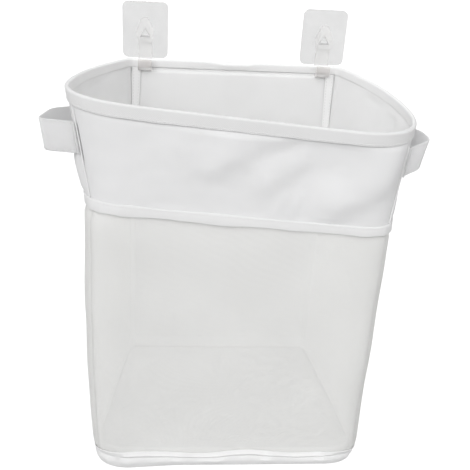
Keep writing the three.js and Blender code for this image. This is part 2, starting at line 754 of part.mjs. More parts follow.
for (const [side, label] of [[-1, "left"], [1, "right"]]) {
  const columns = sideColumns(side, placesBetween(BACK_SEAM, FRONT_SEAM), FIT_GAP / 2, -FIT_GAP / 2);
  const sideBand = skinLayer(columns, bandHeights, -fabricFace, fabricFace);
  const sideMesh = skinLayer(columns, meshHeights, -meshFace, meshFace);
  addPiece(bag, `side_band_${label}`, sideBand, whiteFabric);
  addPiece(bag, `side_mesh_${label}`, sideMesh, whiteMesh);
  addPiece(bag, `back_seam_tape_${label}`, seamTapeGeometry(side, BACK_SEAM), whiteTape);
  addPiece(bag, `front_seam_tape_${label}`, seamTapeGeometry(side, FRONT_SEAM), whiteTape);
  addPiece(bag, `corner_piping_${label}`, pipingGeometry(side), whiteTape);
  addPiece(bag, `handle_${label}`, handleGeometry(side), whiteFabric);
}

export default model;
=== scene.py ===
"""A white hanging bag for bath toys, its mouth held open by a wire, on two clear adhesive hooks.

The plastic and the steel come from the CAD frame. The cloth, mesh, tapes and stitching are made here on the
same plan outlines. Lengths are in millimetres and become metres when a mesh is made.
"""

import json
import math
from contextlib import contextmanager

import bmesh
import bpy
from mathutils import Matrix, Vector, noise


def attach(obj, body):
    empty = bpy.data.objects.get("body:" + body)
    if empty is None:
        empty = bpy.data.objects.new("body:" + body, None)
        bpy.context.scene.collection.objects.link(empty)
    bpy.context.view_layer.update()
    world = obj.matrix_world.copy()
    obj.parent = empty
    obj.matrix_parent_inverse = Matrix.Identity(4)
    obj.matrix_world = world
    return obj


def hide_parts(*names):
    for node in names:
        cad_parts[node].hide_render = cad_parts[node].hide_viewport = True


MM = 0.001
SIDES = (("left", -1), ("right", 1))

# Clear space between sewn pieces, the thickness of the cloths, and how far panels and trims stand out
FIT_GAP = 0.3
FABRIC = 1.0
MESH = 0.15
PANEL_FACE = 0.8
TRIM_FACE = PANEL_FACE + FIT_GAP

# Places on each half of the outline, counted from the middle of the back to the middle of the front
BACK_CORNER_START = 1
BACK_SEAM = 1.5
SIDE_START = 2
CORNER_START = 3
FRONT_SEAM = 3.5
FRONT_START = 4
FRONT_MIDDLE = 5

# Plan of the bag at the rim, at the foot of the fabric band and at the base. The bulges are those of the
# front and the sides. A seam share says how far round the front corner, from the side, its seam lies.
BACK_CORNER = 8
BASE_STANDOFF = 3.6
RIM_PLAN = dict(
    back_half=107, front_half=149, depth=182, bulges=(1, 20), front_corner=65, seam_share=0.36, droop=12.5
)
WAIST_PLAN = dict(
    back_half=107.5, front_half=136.5, depth=193.5, bulges=(1.5, 5.5), front_corner=33, seam_share=0.5,
    droop=10,
)
BASE_PLAN = dict(
    back_half=110.5, front_half=138, depth=198, bulges=(0.5, 2), front_corner=40, seam_share=0.5, droop=0
)

# Heights below the centre of the rim wire
PANEL_DROP = 2.7
BAND_HEIGHT = 88.5
BAG_HEIGHT = 363

# Steps along the outline, down the panels and round lips and bends
PANEL_STEPS = 40
BACK_SEAM_STEPS = 5
FRONT_SEAM_STEPS = 12
LOOP_STEPS = (30, 8, 40, 26, 30)
RIM_STRIDE = 0.005
FINE_DROP = 20
FINE_STEPS = 16
UPPER_STEPS = 20
MESH_STEPS = 60
LIP_STEPS = 6
TAPE_LIP_STEPS = 4
CREST_STEPS = 18
HOLLOW_STEPS = 10
PIPING_STEPS = 12
BEND_STEPS = 8

# Rim binding: a tape folded over the wire, with a round crest and two flat legs. Its inner face runs from the
# crest to the middle of the inner lip, counted in points of its section, and is made paler as painted light.
CREST_RADIUS = 2.0
CREST_RISE = 1.6
CREST_OVERHANG = 8
RIM_FOOT_FACE = 1.7
RIM_TAPE = 0.9
RIM_INNER_SET = 0.2
RIM_INNER_LEG = 5
RIM_OUTER_LEG = 8.2
RIM_LEG_GROWTH = 0.4
RIM_PAINTED_LIGHT_FACES = range(LIP_STEPS + CREST_STEPS // 2 + 2, 2 * LIP_STEPS + CREST_STEPS)
WIRE_HOLLOW = 1.75
SLEEVE_HOLLOW = 2.75
SLEEVE_FADE = (13, 23)
RIM_PUCKER = 13
RIM_PUCKER_HEIGHT = 0.6
RIM_PUCKER_SWELL = 0.35

# Band binding, seam tapes and piping
BINDING_HEIGHT = 9
BINDING_FACE = 0.6
BINDING_THICKNESS = 1.1
BINDING_FLARE = 0.8
BINDING_PUCKER = 26
BINDING_PUCKER_HEIGHT = 1.4
BASE_TAPE_HEIGHT = 15
TAPE_WIDTH = 9.5
TAPE_THICKNESS = 1.2
TAPE_END = 2
BACK_TAPE_LEAN = 6
PIPING_RADIUS = 0.9
PIPING_SINK = 0.6

# Hem of the base. It sags between two distances from the middle, by a depth. Its upper edge has a long and a
# short wave, each with a height, a length for one radian and a shift.
HEM_HEIGHT = 18
HEM_THICKNESS = 2.2
HEM_LIP = 1.2
HEM_EDGE_RADIUS = 4
HEM_FLANGE = 9
HEM_PUFF = 1.6
HEM_SIDE_SHARE = 0.5
HEM_SIDE_DROP = 10
HEM_GROOVE = 0.3
HEM_GROOVE_DEPTH = 0.5
HEM_FRONT_PLACES = (CORNER_START, 3.7)
HEM_SAGS = {-1: (40, 115, 3.6), 1: (95, 130, 1.6)}
HEM_SAG_PLACES = (2.7, 3.3)
HEM_WAVES = ((1.6, 21, 0.6), (1.1, 13, 0))
HEM_WAVE_FADE = (-150, -60)

# Slots in the back panel for the hooks
HOOK_X = 92
SLOT_HALF = 7.4
SLOT_TOP = 5.3
SLOT_FOOT = 9

# Strap handles, sewn on beside the front corner seams
HANDLE_DROP = 19
STRAP_WIDTH = 25
STRAP_THICKNESS = 1.6
STRAP_START = 1.8
HANDLE_FRONT_TAB = 4
HANDLE_SPAN = 55
HANDLE_BACK_TAB = 13
HANDLE_BEND = 7
BEND_SHARE = 0.45

# The two loops stand differently: how much higher each strap is sewn on, how far its lower edge is drawn in,
# and its turn and its knee, counted outwards, back and up from where it leaves the side
LOOPS = {
    -1: (-3, 0, (28.5, 0, 2), (21, 27, 2)),
    1: (3, 3, (18, 3.5, 6), (16.5, 26, 6)),
}

# How far the threads of the mesh wander from straight lines and over what length, and their soft edge
THREAD_WANDER = 3.0
WANDER_SIZE = 9
THREAD_EDGE = 0.08

# Sewing thread. A stitch runs through rings, each with its place along it and its share of the radius. The
# straps are sewn down in the front tab and at the start and in the middle of the rear tab.
STITCH_PITCH = 3.2
STITCH_LENGTH = 2.3
THREAD_RADIUS = 0.3
STITCH_INSET = 1.6
STITCH_SIDES = 6
STITCH_RINGS = ((-0.5, 0.35), (-0.32, 1), (0.32, 1), (0.5, 0.35))
STRAP_SEWN_ROWS = (1, -BEND_STEPS - 3, -2)

# Soft folds of the front band: the two ends of the crest or valley, as millimetres right of the middle and
# below the wire, then its reach up and left, its reach down and right, and its height, below 0 for a valley
FOLDS = (
    ((39, -3), (-30, 39), 30, 13, 3.1),
    ((46, 28), (17, 48), 13, 11, 2.6),
    ((86, 36), (52, 38), 30, 22, -3.4),
    ((34, 17), (12, 24), 16, 9, -2.0),
    ((140, 26), (80, 60), 24, 14, 5.0),
    ((34, 60), (27, 76), 5, 4, 0.7),
    ((46, 58), (40, 74), 5, 4, 0.8),
)
BAND_FADE = ((6, 14), (74, 82))
FOLD_FADE_SEAM = (FRONT_SEAM, 3.8)

# The cloth is drawn in beside the front corner seams, and the front band under the edge of the rim tape
SEAM_DEPTH = 0.2
SEAM_REACH = 2.2
SLIT_DEPTH = 1.3
SLIT_REACH = 1.6
SLIT_FADE = ((16, 26), (44, 60))
RIM_TUCK = 0.4
RIM_TUCK_REACH = 2

# Slow waves of the cloth, and where they have grown from an edge or fade towards one
SIDE_WAVE = 45
SIDE_WAVE_HEIGHT = 2
SIDE_FADE = ((SIDE_START, 2.2), (3.2, FRONT_SEAM))
TAB_EASE = 0.08
TAB_CLEAR = 9
TAB_MARGIN = 1
CRUMPLE = 24
CRUMPLE_HEIGHT = 0.7
CRUMPLE_FINER = 2.3
CRUMPLE_FINE_SHARE = 0.4
BACK_WAVE = 70
BACK_WAVE_HEIGHT = 1.5
BACK_FADE_TOP = (15, 60)
BACK_FADE_FOOT = (5, 60)
BACK_FADE_SEAM = 30
SLACK_WAVE = 60
SLACK_WAVE_HEIGHT = 1.2
SLACK_TOP = 25
SLACK_FOOT = 30
BASE_SAG = 4

# How far the mesh stands out beside the front corners, at its top and at its foot, how far down it grows to
# that and how much of it is left above the hem, then the left side band below its handle
MESH_BULGES = {-1: (2.6, 6.2, 100, 0.75), 1: (1.5, 5.2, 270, 1.2)}
MESH_BULGE_TOP = 10
MESH_BULGE_FOOT = (1, 16)
MESH_BULGE_HEM = (16, 60)
MESH_BULGE_PLACES = ((SIDE_START, 2.7), (FRONT_SEAM, 4.1))
BAND_BULGE = 4
BAND_BULGE_DROP = 58
BAND_BULGE_REACH = 22
BAND_BULGE_PLACES = ((SIDE_START, 2.7), (3.25, FRONT_SEAM))

# Rounded edges of the moulded plastic; the window in each hook's boss and the J's tip get painted shade
EDGE_ROUND = 0.5
HOOK_ROUND = 1.1
EDGE_ANGLE = 35
EDGE_STEPS = 3
FLAT_ANGLE = 1
WELD = 0.01
WINDOW_HALF = 5
WINDOW_FOOT = -6
WINDOW_TOP = 3
WALL_TURN = 0.5
HOOK_TIP_TOP = 10

# Grain of the materials, how far light runs in the webbing, and the pitch, depth and roughness of each weave
FIBRE = 0.8
FABRIC_PATCH = 55
MESH_PATCH = 70
PATCH_SWING = 0.015
FLOOR_PATCH = 900
RIPPLE = 9
SMEAR = 3
STEEL_GRAIN = 0.6
CLOUD_LOW = 0.3
CLOUD_HIGH = 0.7
GLOW_REACH = 4 * STRAP_THICKNESS
PLAIN_WEAVE = (0.55, 0.05, 0.82)
TAPE_WEAVE = (0.8, 0.08, 0.75)
WEBBING_WEAVE = (0.7, 0.07, 0.8)
THREAD_WEAVE = (0.3, 0.04, 0.7)

# Camera, fitted to the photograph
PICTURE_PIXELS = 470
FOCAL_PIXELS = 720.9
SENSOR_WIDTH = 36
CAMERA_PLACE = (-61.1, -751.4, 158.6)
CAMERA_YAW = 5.64
CAMERA_PITCH = 27.45
CAMERA_ROLL = -3.725

# Light and floor
SKY_STRENGTH = 0.55
GROUND_LIGHT = 0.9
HORIZON_BLUR = 0.2
FLOOR_GLOW = 0.25
LAMP_ANGLE = 50
LAMP_ELEVATION = 40
LAMPS = (("left", -32, 1.5), ("right", 50, 0.52))
FLOOR_HEIGHT = -2000
FLOOR_HALF = 40000


def mix(low, high, share):
    return low + (high - low) * share


def clamp(value, low=0.0, high=1.0):
    return max(low, min(high, value))


def ease(low, high, value):
    """A smooth step from 0 at low to 1 at high."""
    share = clamp((value - low) / (high - low))
    return share * share * (3 - 2 * share)


def plateau(rise, fall, value):
    """1 between two ranges, easing up through the first and down through the second."""
    return ease(*rise, value) * (1 - ease(*fall, value))


def arch(t):
    """A parabola that rises from 0 to 1 and falls back to 0."""
    return 4 * t * (1 - t)


def nearness(distance, reach):
    """1 at no distance, falling smoothly to almost 0 at twice the reach."""
    return math.exp(-((distance / reach) ** 2))


def spread(start, stop, steps):
    return [mix(start, stop, k / steps) for k in range(steps + 1)]


def chain(*runs):
    """Even steps through runs, each with a start, a stop and a number of steps."""
    values = [runs[0][0]]
    for run in runs:
        values += spread(*run)[1:]
    return values


def corner(start, start_along, stop, stop_along):
    """The two ends of a round and between them its knee, where the lines along its ends meet."""
    share = (stop - start).cross(stop_along) / start_along.cross(stop_along)
    return start, start + start_along * share, stop


def bezier(start, knee, stop, t):
    return start * (1 - t) ** 2 + knee * (2 * t * (1 - t)) + stop * t**2


class Section:
    """A plan outline of the bag at one height, with places on its right half."""

    STEP = 1e-4

    def __init__(self, height, back, back_half, front_half, depth, bulges, front_corner, seam_share, droop):
        self.height, self.back, self.depth, self.droop = height, back, depth, droop
        self.front_half = front_half
        self.front_bulge, self.side_bulge = bulges
        self.seam_lead = seam_share - 0.5
        self.back_end = Vector((back_half, -back))
        self.front_end = Vector((front_half, -back - depth))
        self.chord = self.front_end - self.back_end
        self.outward = Vector((-self.chord.y, self.chord.x)).normalized()
        self.side_start = BACK_CORNER / self.chord.length
        self.side_stop = 1 - front_corner / self.chord.length
        self.front_start = front_corner / front_half
        self.back_stop = Vector((back_half - BACK_CORNER, -back))
        side_in, side_out = ((self.side(t), self.side_along(t)) for t in (self.side_start, self.side_stop))
        front_in = (self.front(self.front_start), self.front_along(self.front_start))
        self.back_corner = corner(self.back_stop, Vector((1, 0)), *side_in)
        self.front_corner = corner(*side_out, *front_in)

    def side(self, t):
        return self.back_end + self.chord * t + self.outward * (self.side_bulge * arch(t))

    def side_along(self, t):
        return self.chord + self.outward * (4 * self.side_bulge * (1 - 2 * t))

    def front(self, t):
        return Vector((self.front_half * (1 - t), self.front_end.y - self.front_bulge * t * (2 - t)))

    def front_along(self, t):
        return Vector((-self.front_half, -2 * self.front_bulge * (1 - t)))

    def point(self, place):
        stretch = clamp(math.floor(place), 0, FRONT_MIDDLE - 1)
        t = place - stretch
        if stretch < BACK_CORNER_START:
            return Vector((self.back_stop.x * t, self.back_stop.y))
        if stretch < SIDE_START:
            return bezier(*self.back_corner, t)
        if stretch < CORNER_START:
            return self.side(mix(self.side_start, self.side_stop, t))
        if stretch < FRONT_START:
            return bezier(*self.front_corner, t + self.seam_lead * arch(t))
        return self.front(mix(self.front_start, 1, t))

    def run(self, place):
        """A short step along the outline."""
        return self.point(place + self.STEP) - self.point(place - self.STEP)

    def edge(self, place, shift):
        """The point and the outward direction some millimetres along from a place."""
        place += shift * 2 * self.STEP / self.run(place).length
        along = self.run(place).normalized()
        return self.point(place), Vector((-along.y, along.x))

    def droop_at(self, x, y):
        return self.droop * x / self.front_half * (-y - self.back) / self.depth


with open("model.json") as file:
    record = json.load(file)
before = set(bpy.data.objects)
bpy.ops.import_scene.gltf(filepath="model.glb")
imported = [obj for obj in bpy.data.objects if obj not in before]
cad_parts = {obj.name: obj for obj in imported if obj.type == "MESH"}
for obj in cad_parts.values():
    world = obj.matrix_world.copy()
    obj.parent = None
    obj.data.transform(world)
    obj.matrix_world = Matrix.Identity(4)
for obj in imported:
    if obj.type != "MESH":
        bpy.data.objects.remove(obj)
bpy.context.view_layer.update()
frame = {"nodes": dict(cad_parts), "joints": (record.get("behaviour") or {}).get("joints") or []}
swing = frame["joints"][0]
RIM_STANDOFF = -swing["pos_m"][1] / MM
RIM_Z = swing["pos_m"][2] / MM
PANEL_TOP_Z = RIM_Z - PANEL_DROP
WAIST_Z = RIM_Z - BAND_HEIGHT
BASE_Z = RIM_Z - BAG_HEIGHT
BAND_FOOT_Z = WAIST_Z + BINDING_HEIGHT / 2
HEM_FOOT = BASE_Z - FIT_GAP - HEM_THICKNESS
WAIST_STANDOFF = mix(RIM_STANDOFF, BASE_STANDOFF, BAND_HEIGHT / BAG_HEIGHT)
SECTIONS = (
    Section(RIM_Z, RIM_STANDOFF, **RIM_PLAN),
    Section(WAIST_Z, WAIST_STANDOFF, **WAIST_PLAN),
    Section(BASE_Z, BASE_STANDOFF, **BASE_PLAN),
)


class Column:
    """One upright line of the bag's skin. side is 1 on the right and -1 on the left."""

    def __init__(self, side, place, shift=0.0):
        self.side = side
        self.place = place
        self.edges = [section.edge(place, shift) for section in SECTIONS]

    def level(self, index, offset):
        point, outward = self.edges[index]
        flat = point + outward * offset
        x = self.side * flat.x
        return Vector((x, flat.y, -SECTIONS[index].droop_at(x, flat.y)))

    def at(self, z, offset=0.0):
        """The point of the skin at a height, before the mouth's droop, and an offset outwards."""
        lower = 1 if z > WAIST_Z else 2
        top, foot = SECTIONS[lower - 1].height, SECTIONS[lower].height
        share = clamp((top - z) / (top - foot))
        point = self.level(lower - 1, offset).lerp(self.level(lower, offset), share)
        point.z += z
        return point


def across(places, seam_gap=0.0):
    """Columns from the left to the right, through the last of the places."""
    shifts = [seam_gap] + [0.0] * (len(places) - 1)
    left, right = ([Column(side, *spot) for spot in zip(places, shifts)] for _, side in SIDES)
    return left[:-1] + right[::-1]


def place_along_rim(start, length):
    """The place some millimetres further along the rim."""
    step = math.copysign(RIM_STRIDE, length)
    place, left = start, abs(length)
    while True:
        stride = (SECTIONS[0].point(place + step) - SECTIONS[0].point(place)).length
        if stride > left:
            return place + step * left / stride
        left -= stride
        place += step


STRAP_ROOT = STRAP_START + HANDLE_FRONT_TAB
BACK_ROOT = place_along_rim(FRONT_SEAM, -STRAP_ROOT - HANDLE_SPAN)
BACK_END = place_along_rim(BACK_ROOT, -HANDLE_BACK_TAB)
SIDE_PLACES = chain(
    (BACK_SEAM, SIDE_START, BACK_SEAM_STEPS),
    (SIDE_START, CORNER_START, PANEL_STEPS),
    (CORNER_START, FRONT_SEAM, FRONT_SEAM_STEPS),
)
FRONT_PLACES = chain((FRONT_SEAM, FRONT_START, FRONT_SEAM_STEPS), (FRONT_START, FRONT_MIDDLE, PANEL_STEPS))
BACK_PLACES = chain((BACK_SEAM, BACK_CORNER_START, BACK_SEAM_STEPS), (BACK_CORNER_START, 0, PANEL_STEPS))
LOOP_PLACES = chain(*((start, start + 1, steps) for start, steps in enumerate(LOOP_STEPS)))
front_columns = across(FRONT_PLACES, FIT_GAP / 2)
front_mesh_columns = across(FRONT_PLACES)
back_columns = across(BACK_PLACES, -FIT_GAP / 2)
round_columns = across([place for place in LOOP_PLACES if place >= SIDE_START])
loop_columns = [Column(1, place) for place in LOOP_PLACES]
loop_columns += [Column(-1, place) for place in LOOP_PLACES[-2:0:-1]]


# Materials


class Nodes:
    """A node tree, built up call by call."""

    def __init__(self, tree):
        self.tree = tree

    def put(self, socket, value):
        if isinstance(value, bpy.types.NodeSocket):
            self.tree.links.new(value, socket)
        else:
            socket.default_value = value

    def node(self, kind, inputs, **settings):
        made = self.tree.nodes.new("ShaderNode" + kind)
        for name, value in settings.items():
            setattr(made, name, value)
        for key, value in inputs.items():
            self.put(made.inputs[key], value)
        return made

    def math(self, operation, first, second=0.0):
        return self.node("Math", {0: first, 1: second}, operation=operation).outputs[0]

    def ramp(self, value, low, high, start, stop):
        """A number that runs from start to stop while a value runs from low to high."""
        return self.node("MapRange", dict(enumerate((value, low, high, start, stop)))).outputs[0]

    def seen_directly(self):
        """1 for what is seen, also in a mirror or through glass, and 0 for light on its way to a surface."""
        path = self.node("LightPath", {}).outputs
        mirrored = self.math("MAXIMUM", path["Is Camera Ray"], path["Is Glossy Ray"])
        return self.math("MAXIMUM", mirrored, path["Is Transmission Ray"])


class Shader(Nodes):
    """A material, built up on its Principled shader."""

    def __init__(self, name):
        self.material = bpy.data.materials.new(name)
        self.material.use_nodes = True
        super().__init__(self.material.node_tree)
        self.surface = self.tree.nodes["Principled BSDF"]

    def set(self, **values):
        for name, value in values.items():
            self.put(self.surface.inputs[name.replace("_", " ")], value)

    def cloud(self, size, detail=2.0):
        """Soft noise with patches of a size in millimetres, from 0 to 1."""
        place = self.node("TexCoord", {}).outputs["Object"]
        inputs = {"Vector": place, "Scale": 1 / (size * MM), "Detail": detail}
        return self.node("TexNoise", inputs).outputs[0]

    def roughen(self, factor, middle, swing):
        """A roughness that swings about its middle with a factor."""
        self.set(Roughness=self.ramp(factor, CLOUD_LOW, CLOUD_HIGH, middle - swing, middle + swing))

    def tint(self, factor, low, high):
        """A colour that runs from low to high with a factor around its middle."""
        ramp = self.node("ValToRGB", {"Fac": factor})
        stops = ((CLOUD_LOW, low), (CLOUD_HIGH, high))
        for element, (position, colour) in zip(ramp.color_ramp.elements, stops):
            element.position = position
            element.color = (*colour, 1)
        self.set(Base_Color=ramp.outputs["Color"])

    def patches(self, size, tone, warmth):
        """White with patches of two near tones."""
        self.tint(self.cloud(size), *((t, t, t - warmth) for t in (tone - PATCH_SWING, tone + PATCH_SWING)))

    def threads(self, pitch, wander=0.0):
        """Waves across and along the cloth, one thread to each half wave. wander is in millimetres."""
        spot = self.node("UVMap", {}, uv_map="cloth").outputs["UV"]
        split = self.node("SeparateXYZ", {0: spot})
        turn = math.pi / (pitch * MM)
        phases = [self.math("MULTIPLY", split.outputs[k], turn) for k in (0, 1)]
        if wander:
            drift = self.math("MULTIPLY", self.cloud(WANDER_SIZE), wander * MM * turn)
            phases = [self.math("ADD", phase, drift) for phase in phases]
        return [self.math("SINE", phase) for phase in phases]

    def bump(self, height, depth):
        inputs = {"Height": height, "Strength": 1.0, "Distance": depth * MM}
        self.set(Normal=self.node("Bump", inputs).outputs["Normal"])


def woven(name, tone, weave, warmth=0.0, glow=0.0):
    """White cloth of over and under threads. glow is the share of light that it lets through."""
    pitch, depth, roughness = weave
    shader = Shader(name)
    crossings = shader.math("MULTIPLY", *shader.threads(pitch))
    fibre = shader.cloud(FIBRE, 3)
    shader.bump(shader.math("ADD", crossings, fibre), depth)
    shader.patches(FABRIC_PATCH, tone, warmth)
    shader.roughen(fibre, roughness, 0.06)
    shader.set(Sheen_Weight=0.12, Sheen_Roughness=0.5, Specular_IOR_Level=0.25)
    if glow:
        shader.set(Subsurface_Weight=glow, Subsurface_Radius=(1, 1, 1), Subsurface_Scale=GLOW_REACH * MM)
    return shader.material


def netting(name, tone, warmth, pitch, hole):
    """Fine net: threads both ways with open squares between them."""
    shader = Shader(name)
    warp, weft = (shader.math("ABSOLUTE", wave) for wave in shader.threads(pitch, THREAD_WANDER))
    inside = shader.math("MINIMUM", warp, weft)
    shader.set(Alpha=shader.ramp(inside, hole - THREAD_EDGE, hole + THREAD_EDGE, 1.0, 0.0))
    shader.bump(shader.math("MULTIPLY", inside, -1.0), 0.03)
    shader.patches(MESH_PATCH, tone, warmth)
    shader.roughen(shader.cloud(FIBRE, 3), 0.88, 0.06)
    shader.set(Sheen_Weight=0.1, Sheen_Roughness=0.5, Specular_IOR_Level=0.2)
    return shader.material


def clear_plastic(name, shade, light, roughness, **passing):
    """Moulded clear plastic, faintly rippled. passing says how it lets light through."""
    shader = Shader(name)
    ripple = shader.cloud(RIPPLE)
    shader.bump(ripple, 0.06)
    shader.tint(ripple, shade, light)
    shader.roughen(shader.cloud(SMEAR), roughness, 0.05)
    shader.set(IOR=1.49, **passing)
    return shader.material


def drawn_steel(name):
    shader = Shader(name)
    grain = shader.cloud(STEEL_GRAIN, 4)
    shader.bump(grain, 0.02)
    shader.tint(grain, (0.5, 0.51, 0.52), (0.62, 0.63, 0.64))
    shader.roughen(grain, 0.335, 0.085)
    shader.set(Metallic=1.0)
    return shader.material


def pale_floor(name):
    shader = Shader(name)
    shader.tint(shader.cloud(FLOOR_PATCH), (0.95, 0.95, 0.95), (0.965, 0.965, 0.965))
    shader.set(Roughness=1.0, Specular_IOR_Level=0.0)
    glow = shader.math("MULTIPLY", shader.seen_directly(), FLOOR_GLOW)
    shader.set(Emission_Color=(1, 1, 1, 1), Emission_Strength=glow)
    return shader.material


FABRIC_LOOK = woven("white_fabric", 0.8, PLAIN_WEAVE, warmth=-0.004)
# Inner side of the same fabric, paler: painted light standing for the light inside the bag
PAINTED_LIGHT_INNER_LOOK = woven("white_fabric_inner_painted_light", 0.91, PLAIN_WEAVE)
# Back panel, paler than the same fabric elsewhere: painted light for the lit inside of the back wall
BACK_PAINTED_LIGHT_LOOK = woven("white_back_fabric_painted_light", 0.9, PLAIN_WEAVE)
# Base, darker than the same fabric elsewhere: painted shade for the shaded bottom of the bag
BASE_PAINTED_SHADE_LOOK = woven("white_base_fabric_painted_shade", 0.72, PLAIN_WEAVE)
STRAP_LOOK = woven("white_webbing", 0.75, WEBBING_WEAVE, warmth=-0.006, glow=1.0)
RIM_LOOK = woven("white_rim_tape", 0.815, TAPE_WEAVE)
BINDING_LOOK = woven("white_binding", 0.81, TAPE_WEAVE)
# Tape, paler than the cloth: partly its own whiter tone, partly painted light for tapes in the shade inside
PAINTED_LIGHT_TAPE_LOOK = woven("white_tape_painted_light", 0.965, TAPE_WEAVE)
THREAD_LOOK = woven("white_thread", 0.77, THREAD_WEAVE)
MESH_LOOK = netting("white_mesh", 0.95, warmth=0.014, pitch=0.9, hole=0.64)
PAD_LOOK = clear_plastic("clear_pad", (0.66, 0.66, 0.66), (0.68, 0.68, 0.68), 0.12, Transmission_Weight=1.0)
HOOK_LOOK = clear_plastic("clear_hook", (0.95, 0.945, 0.94), (0.97, 0.965, 0.96), 0.15, Alpha=0.38)
# Darker plastic for the window walls of the hooks: painted shade
WINDOW_PAINTED_SHADE_LOOK = clear_plastic("clear_window_painted_shade", (0.56, 0.56, 0.56), (0.64, 0.64, 0.64), 0.15, Alpha=0.85)
# Darker, faintly warm plastic for the J's tip inside the bag: painted shade
TIP_PAINTED_SHADE_LOOK = clear_plastic("clear_tip_painted_shade", (0.8, 0.775, 0.765), (0.84, 0.815, 0.805), 0.15, Alpha=0.7)
STEEL_LOOK = drawn_steel("spring_steel")


# Mesh building


@contextmanager
def opened(mesh):
    """The mesh opened for editing, and written back afterwards."""
    made = bmesh.new()
    made.from_mesh(mesh)
    yield made
    made.to_mesh(mesh)
    made.free()


def running_length(points):
    total = [0.0]
    for before, after in zip(points, points[1:]):
        total.append(total[-1] + (after - before).length)
    return total


def put_in_scene(name, data):
    made = bpy.data.objects.new(name, data)
    bpy.context.scene.collection.objects.link(made)
    return made


def add_object(name, mesh, look):
    mesh.materials.clear()
    mesh.materials.append(look)
    mesh.shade_smooth()
    return put_in_scene(name, mesh)


def add_grid(name, look, rows, ring=False, loop=False, crease=40):
    """A surface through rows of points, with UVs in metres along and across it.

    ring joins the two ends of each row, and loop joins the last row to the first. A ring with no loop gets
    end caps.
    """
    width = len(rows[0])
    middle_column = [row[width // 2] for row in rows]
    middle_row = list(rows[len(rows) // 2])
    along = running_length(middle_column + middle_column[:1])
    around = running_length(middle_row + middle_row[:1])
    faces, corners = [], []
    for r in range(len(rows) if loop else len(rows) - 1):
        for c in range(width if ring else width - 1):
            spots = ((r, c), (r, c + 1), (r + 1, c + 1), (r + 1, c))
            faces.append([row % len(rows) * width + column % width for row, column in spots])
            corners += [(along[row] * MM, around[column] * MM) for row, column in spots]
    if ring and not loop:
        for start in (0, (len(rows) - 1) * width):
            faces.append(range(start, start + width))
            corners += [(0.0, span * MM) for span in around[:width]]
    mesh = bpy.data.meshes.new(name)
    mesh.from_pydata([point * MM for row in rows for point in row], [], faces)
    layer = mesh.uv_layers.new(name="cloth")
    for spot, corner in zip(layer.data, corners):
        spot.uv = corner
    if ring:
        with opened(mesh) as made:
            bmesh.ops.recalc_face_normals(made, faces=made.faces)
    piece = add_object(name, mesh, look)
    mesh.set_sharp_from_angle(angle=math.radians(crease))
    return piece


def settle(piece, slot, *nodes, body="bag"):
    """The piece moves with a body and stands for these CAD nodes."""
    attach(piece, body)
    if nodes:
        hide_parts(*nodes)


def arc(centre, radius, start, stop, steps):
    """Points of a round in a section, its angles in degrees from outwards, up."""
    turns = (math.radians(angle) for angle in spread(start, stop, steps))
    return [(centre[0] + radius * math.cos(turn), centre[1] + radius * math.sin(turn)) for turn in turns]


# Cloth shapes


def fold_lift(spot, start, stop, upper_reach, lower_reach, height):
    """The lift of one fold: it falls away from its crest, gently upwards and steeply downwards."""
    along = Vector(stop) - Vector(start)
    reach = spot - Vector(start)
    apart = reach - along * clamp(reach.dot(along) / along.length_squared)
    if apart.length == 0:
        return height
    side = along.cross(apart) / (along.length * apart.length)
    width = mix(lower_reach, upper_reach, (1 + side) / 2)
    return height * nearness(apart.length, width)


def waves(column, size, z=RIM_Z):
    """Smooth unevenness of the skin or of a sewn edge, with hills of a size, about -0.5 to 0.5."""
    return noise.noise(column.at(z) * (1 / size))


def crumple(column, z):
    """Small unevenness of handled cloth."""
    spot = column.at(z) * (1 / CRUMPLE)
    return CRUMPLE_HEIGHT * (noise.noise(spot) + CRUMPLE_FINE_SHARE * noise.noise(spot * CRUMPLE_FINER))


def fold_offset(column, z):
    """How far the soft folds lift the front band."""
    spot = Vector((column.at(z).x, RIM_Z - z))
    fade = plateau(*BAND_FADE, RIM_Z - z) * ease(*FOLD_FADE_SEAM, column.place)
    return fade * (crumple(column, z) + sum(fold_lift(spot, *fold) for fold in FOLDS))


def slack_offset(column, z):
    """Faint waves of the mesh and its bulge beside the corners, gone at its edges."""
    down, up = WAIST_Z - z, z - BASE_Z
    fade = ease(0, SLACK_TOP, down) * ease(0, SLACK_FOOT, up)
    top, foot, growth, at_hem = MESH_BULGES[column.side]
    bulge = mix(top, foot, clamp(down / growth)) * plateau(*MESH_BULGE_PLACES, column.place)
    bulge *= ease(0, MESH_BULGE_TOP, down) * ease(*MESH_BULGE_FOOT, up)
    bulge *= mix(at_hem, 1, ease(*MESH_BULGE_HEM, up))
    return SLACK_WAVE_HEIGHT * fade * waves(column, SLACK_WAVE, z) + bulge


def rim_foot(column):
    """The lower edge of the rim tape's outer leg, longer in front than behind."""
    share = ease(BACK_CORNER_START, SIDE_START + RIM_LEG_GROWTH, column.place)
    leg = mix(RIM_INNER_LEG, RIM_OUTER_LEG, share)
    return RIM_Z - leg + share * RIM_PUCKER_HEIGHT * waves(column, RIM_PUCKER)


